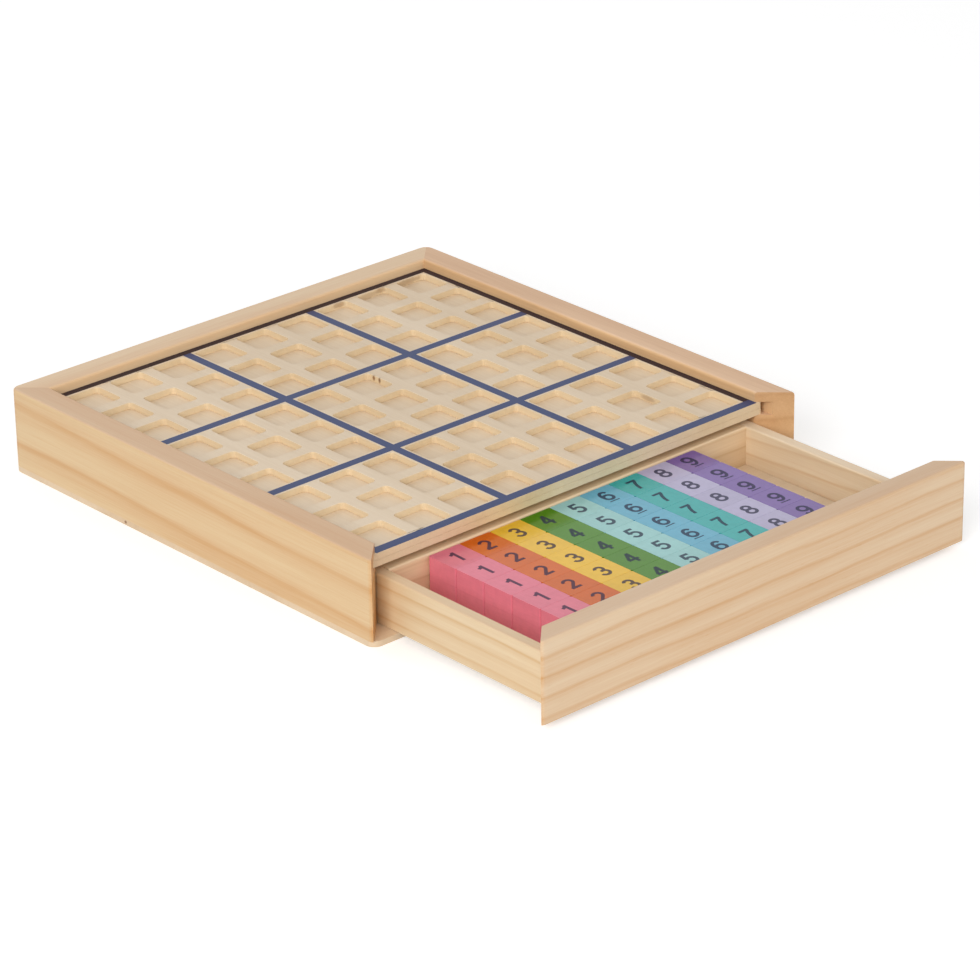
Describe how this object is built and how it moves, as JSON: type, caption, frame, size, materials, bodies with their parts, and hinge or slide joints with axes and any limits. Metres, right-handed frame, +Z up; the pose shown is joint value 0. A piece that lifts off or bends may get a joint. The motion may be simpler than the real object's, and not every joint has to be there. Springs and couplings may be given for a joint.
{
  "type": "sudoku board",
  "caption": "Square wooden sudoku case with a board of square cells let into its top and a full-width drawer below that keeps painted number blocks.",
  "frame": {"origin": "middle of the case's underside, on the table", "axes": "+X along the drawer front to the right, -Y the way the drawer pulls out, +Z up"},
  "size_m": [0.235, 0.331, 0.038],
  "materials": {
    "pine": "planed pine, clear matt lacquer",
    "pale_pine": "planed pine, clear matt lacquer",
    "sheet_wood": "thin wood sheet, clear matt lacquer",
    "pink_paint": "satin paint on wood",
    "orange_paint": "satin paint on wood",
    "yellow_paint": "satin paint on wood",
    "green_paint": "satin paint on wood",
    "mint_paint": "satin paint on wood",
    "blue_paint": "satin paint on wood",
    "teal_paint": "satin paint on wood",
    "lilac_paint": "satin paint on wood",
    "purple_paint": "satin paint on wood",
    "paint_1_to_3": "satin paint on wood, one colour for each number",
    "paint_4_to_6": "satin paint on wood, one colour for each number",
    "paint_7_to_9": "satin paint on wood, one colour for each number"
  },
  "bodies": {
    "case": {"base_panel": "sheet_wood", "left_wall": "pine", "right_wall": "pine", "back_wall": "pine", "backing_sheet": "sheet_wood", "cell_sheet": "sheet_wood"},
    "drawer": {"drawer_front": "pine", "drawer_left_side": "pale_pine", "drawer_right_side": "pale_pine", "drawer_back": "pale_pine", "drawer_floor": "sheet_wood"},
    "lower_blocks_1_to_3": {"lower_blocks_1_to_3": "paint_1_to_3"},
    "lower_blocks_4_to_6": {"lower_blocks_4_to_6": "paint_4_to_6"},
    "lower_blocks_7_to_9": {"lower_blocks_7_to_9": "paint_7_to_9"},
    "block_1_row_1": {"block_1_row_1": "pink_paint"},
    "block_1_row_2": {"block_1_row_2": "pink_paint"},
    "block_1_row_3": {"block_1_row_3": "pink_paint"},
    "block_1_row_4": {"block_1_row_4": "pink_paint"},
    "block_1_row_5": {"block_1_row_5": "pink_paint"},
    "block_2_row_1": {"block_2_row_1": "orange_paint"},
    "block_2_row_2": {"block_2_row_2": "orange_paint"},
    "block_2_row_3": {"block_2_row_3": "orange_paint"},
    "block_2_row_4": {"block_2_row_4": "orange_paint"},
    "block_2_row_5": {"block_2_row_5": "orange_paint"},
    "block_3_row_1": {"block_3_row_1": "yellow_paint"},
    "block_3_row_2": {"block_3_row_2": "yellow_paint"},
    "block_3_row_3": {"block_3_row_3": "yellow_paint"},
    "block_3_row_4": {"block_3_row_4": "yellow_paint"},
    "block_3_row_5": {"block_3_row_5": "yellow_paint"},
    "block_4_row_1": {"block_4_row_1": "green_paint"},
    "block_4_row_2": {"block_4_row_2": "green_paint"},
    "block_4_row_3": {"block_4_row_3": "green_paint"},
    "block_4_row_4": {"block_4_row_4": "green_paint"},
    "block_4_row_5": {"block_4_row_5": "green_paint"},
    "block_5_row_1": {"block_5_row_1": "mint_paint"},
    "block_5_row_2": {"block_5_row_2": "mint_paint"},
    "block_5_row_3": {"block_5_row_3": "mint_paint"},
    "block_5_row_4": {"block_5_row_4": "mint_paint"},
    "block_5_row_5": {"block_5_row_5": "mint_paint"},
    "block_6_row_1": {"block_6_row_1": "blue_paint"},
    "block_6_row_2": {"block_6_row_2": "blue_paint"},
    "block_6_row_3": {"block_6_row_3": "blue_paint"},
    "block_6_row_4": {"block_6_row_4": "blue_paint"},
    "block_6_row_5": {"block_6_row_5": "blue_paint"},
    "block_7_row_1": {"block_7_row_1": "teal_paint"},
    "block_7_row_2": {"block_7_row_2": "teal_paint"},
    "block_7_row_3": {"block_7_row_3": "teal_paint"},
    "block_7_row_4": {"block_7_row_4": "teal_paint"},
    "block_7_row_5": {"block_7_row_5": "teal_paint"},
    "block_8_row_1": {"block_8_row_1": "lilac_paint"},
    "block_8_row_2": {"block_8_row_2": "lilac_paint"},
    "block_8_row_3": {"block_8_row_3": "lilac_paint"},
    "block_8_row_4": {"block_8_row_4": "lilac_paint"},
    "block_8_row_5": {"block_8_row_5": "lilac_paint"},
    "block_9_row_1": {"block_9_row_1": "purple_paint"},
    "block_9_row_2": {"block_9_row_2": "purple_paint"},
    "block_9_row_3": {"block_9_row_3": "purple_paint"},
    "block_9_row_4": {"block_9_row_4": "purple_paint"},
    "block_9_row_5": {"block_9_row_5": "purple_paint"}
  },
  "joints": [
    {"name": "drawer_slide", "type": "slide", "parent": "case", "child": "drawer", "axis": [0, -1, 0], "range_m": [-0.096, 0.015]},
    {"name": "lift_lower_1_to_3", "type": "slide", "parent": "drawer", "child": "lower_blocks_1_to_3", "axis": [0, 0, 1], "range_m": [0, 0.03]},
    {"name": "lift_lower_4_to_6", "type": "slide", "parent": "drawer", "child": "lower_blocks_4_to_6", "axis": [0, 0, 1], "range_m": [0, 0.03]},
    {"name": "lift_lower_7_to_9", "type": "slide", "parent": "drawer", "child": "lower_blocks_7_to_9", "axis": [0, 0, 1], "range_m": [0, 0.03]},
    {"name": "lift_1_row_1", "type": "slide", "parent": "lower_blocks_1_to_3", "child": "block_1_row_1", "axis": [0, 0, 1], "range_m": [0, 0.02]},
    {"name": "lift_1_row_2", "type": "slide", "parent": "lower_blocks_1_to_3", "child": "block_1_row_2", "axis": [0, 0, 1], "range_m": [0, 0.02]},
    {"name": "lift_1_row_3", "type": "slide", "parent": "lower_blocks_1_to_3", "child": "block_1_row_3", "axis": [0, 0, 1], "range_m": [0, 0.02]},
    {"name": "lift_1_row_4", "type": "slide", "parent": "lower_blocks_1_to_3", "child": "block_1_row_4", "axis": [0, 0, 1], "range_m": [0, 0.02]},
    {"name": "lift_1_row_5", "type": "slide", "parent": "lower_blocks_1_to_3", "child": "block_1_row_5", "axis": [0, 0, 1], "range_m": [0, 0.02]},
    {"name": "lift_2_row_1", "type": "slide", "parent": "lower_blocks_1_to_3", "child": "block_2_row_1", "axis": [0, 0, 1], "range_m": [0, 0.02]},
    {"name": "lift_2_row_2", "type": "slide", "parent": "lower_blocks_1_to_3", "child": "block_2_row_2", "axis": [0, 0, 1], "range_m": [0, 0.02]},
    {"name": "lift_2_row_3", "type": "slide", "parent": "lower_blocks_1_to_3", "child": "block_2_row_3", "axis": [0, 0, 1], "range_m": [0, 0.02]},
    {"name": "lift_2_row_4", "type": "slide", "parent": "lower_blocks_1_to_3", "child": "block_2_row_4", "axis": [0, 0, 1], "range_m": [0, 0.02]},
    {"name": "lift_2_row_5", "type": "slide", "parent": "lower_blocks_1_to_3", "child": "block_2_row_5", "axis": [0, 0, 1], "range_m": [0, 0.02]},
    {"name": "lift_3_row_1", "type": "slide", "parent": "lower_blocks_1_to_3", "child": "block_3_row_1", "axis": [0, 0, 1], "range_m": [0, 0.02]},
    {"name": "lift_3_row_2", "type": "slide", "parent": "lower_blocks_1_to_3", "child": "block_3_row_2", "axis": [0, 0, 1], "range_m": [0, 0.02]},
    {"name": "lift_3_row_3", "type": "slide", "parent": "lower_blocks_1_to_3", "child": "block_3_row_3", "axis": [0, 0, 1], "range_m": [0, 0.02]},
    {"name": "lift_3_row_4", "type": "slide", "parent": "lower_blocks_1_to_3", "child": "block_3_row_4", "axis": [0, 0, 1], "range_m": [0, 0.02]},
    {"name": "lift_3_row_5", "type": "slide", "parent": "lower_blocks_1_to_3", "child": "block_3_row_5", "axis": [0, 0, 1], "range_m": [0, 0.02]},
    {"name": "lift_4_row_1", "type": "slide", "parent": "lower_blocks_4_to_6", "child": "block_4_row_1", "axis": [0, 0, 1], "range_m": [0, 0.02]},
    {"name": "lift_4_row_2", "type": "slide", "parent": "lower_blocks_4_to_6", "child": "block_4_row_2", "axis": [0, 0, 1], "range_m": [0, 0.02]},
    {"name": "lift_4_row_3", "type": "slide", "parent": "lower_blocks_4_to_6", "child": "block_4_row_3", "axis": [0, 0, 1], "range_m": [0, 0.02]},
    {"name": "lift_4_row_4", "type": "slide", "parent": "lower_blocks_4_to_6", "child": "block_4_row_4", "axis": [0, 0, 1], "range_m": [0, 0.02]},
    {"name": "lift_4_row_5", "type": "slide", "parent": "lower_blocks_4_to_6", "child": "block_4_row_5", "axis": [0, 0, 1], "range_m": [0, 0.02]},
    {"name": "lift_5_row_1", "type": "slide", "parent": "lower_blocks_4_to_6", "child": "block_5_row_1", "axis": [0, 0, 1], "range_m": [0, 0.02]},
    {"name": "lift_5_row_2", "type": "slide", "parent": "lower_blocks_4_to_6", "child": "block_5_row_2", "axis": [0, 0, 1], "range_m": [0, 0.02]},
    {"name": "lift_5_row_3", "type": "slide", "parent": "lower_blocks_4_to_6", "child": "block_5_row_3", "axis": [0, 0, 1], "range_m": [0, 0.02]},
    {"name": "lift_5_row_4", "type": "slide", "parent": "lower_blocks_4_to_6", "child": "block_5_row_4", "axis": [0, 0, 1], "range_m": [0, 0.02]},
    {"name": "lift_5_row_5", "type": "slide", "parent": "lower_blocks_4_to_6", "child": "block_5_row_5", "axis": [0, 0, 1], "range_m": [0, 0.02]},
    {"name": "lift_6_row_1", "type": "slide", "parent": "lower_blocks_4_to_6", "child": "block_6_row_1", "axis": [0, 0, 1], "range_m": [0, 0.02]},
    {"name": "lift_6_row_2", "type": "slide", "parent": "lower_blocks_4_to_6", "child": "block_6_row_2", "axis": [0, 0, 1], "range_m": [0, 0.02]},
    {"name": "lift_6_row_3", "type": "slide", "parent": "lower_blocks_4_to_6", "child": "block_6_row_3", "axis": [0, 0, 1], "range_m": [0, 0.02]},
    {"name": "lift_6_row_4", "type": "slide", "parent": "lower_blocks_4_to_6", "child": "block_6_row_4", "axis": [0, 0, 1], "range_m": [0, 0.02]},
    {"name": "lift_6_row_5", "type": "slide", "parent": "lower_blocks_4_to_6", "child": "block_6_row_5", "axis": [0, 0, 1], "range_m": [0, 0.02]},
    {"name": "lift_7_row_1", "type": "slide", "parent": "lower_blocks_7_to_9", "child": "block_7_row_1", "axis": [0, 0, 1], "range_m": [0, 0.02]},
    {"name": "lift_7_row_2", "type": "slide", "parent": "lower_blocks_7_to_9", "child": "block_7_row_2", "axis": [0, 0, 1], "range_m": [0, 0.02]},
    {"name": "lift_7_row_3", "type": "slide", "parent": "lower_blocks_7_to_9", "child": "block_7_row_3", "axis": [0, 0, 1], "range_m": [0, 0.02]},
    {"name": "lift_7_row_4", "type": "slide", "parent": "lower_blocks_7_to_9", "child": "block_7_row_4", "axis": [0, 0, 1], "range_m": [0, 0.02]},
    {"name": "lift_7_row_5", "type": "slide", "parent": "lower_blocks_7_to_9", "child": "block_7_row_5", "axis": [0, 0, 1], "range_m": [0, 0.02]},
    {"name": "lift_8_row_1", "type": "slide", "parent": "lower_blocks_7_to_9", "child": "block_8_row_1", "axis": [0, 0, 1], "range_m": [0, 0.02]},
    {"name": "lift_8_row_2", "type": "slide", "parent": "lower_blocks_7_to_9", "child": "block_8_row_2", "axis": [0, 0, 1], "range_m": [0, 0.02]},
    {"name": "lift_8_row_3", "type": "slide", "parent": "lower_blocks_7_to_9", "child": "block_8_row_3", "axis": [0, 0, 1], "range_m": [0, 0.02]},
    {"name": "lift_8_row_4", "type": "slide", "parent": "lower_blocks_7_to_9", "child": "block_8_row_4", "axis": [0, 0, 1], "range_m": [0, 0.02]},
    {"name": "lift_8_row_5", "type": "slide", "parent": "lower_blocks_7_to_9", "child": "block_8_row_5", "axis": [0, 0, 1], "range_m": [0, 0.02]},
    {"name": "lift_9_row_1", "type": "slide", "parent": "lower_blocks_7_to_9", "child": "block_9_row_1", "axis": [0, 0, 1], "range_m": [0, 0.02]},
    {"name": "lift_9_row_2", "type": "slide", "parent": "lower_blocks_7_to_9", "child": "block_9_row_2", "axis": [0, 0, 1], "range_m": [0, 0.02]},
    {"name": "lift_9_row_3", "type": "slide", "parent": "lower_blocks_7_to_9", "child": "block_9_row_3", "axis": [0, 0, 1], "range_m": [0, 0.02]},
    {"name": "lift_9_row_4", "type": "slide", "parent": "lower_blocks_7_to_9", "child": "block_9_row_4", "axis": [0, 0, 1], "range_m": [0, 0.02]},
    {"name": "lift_9_row_5", "type": "slide", "parent": "lower_blocks_7_to_9", "child": "block_9_row_5", "axis": [0, 0, 1], "range_m": [0, 0.02]}
  ]
}
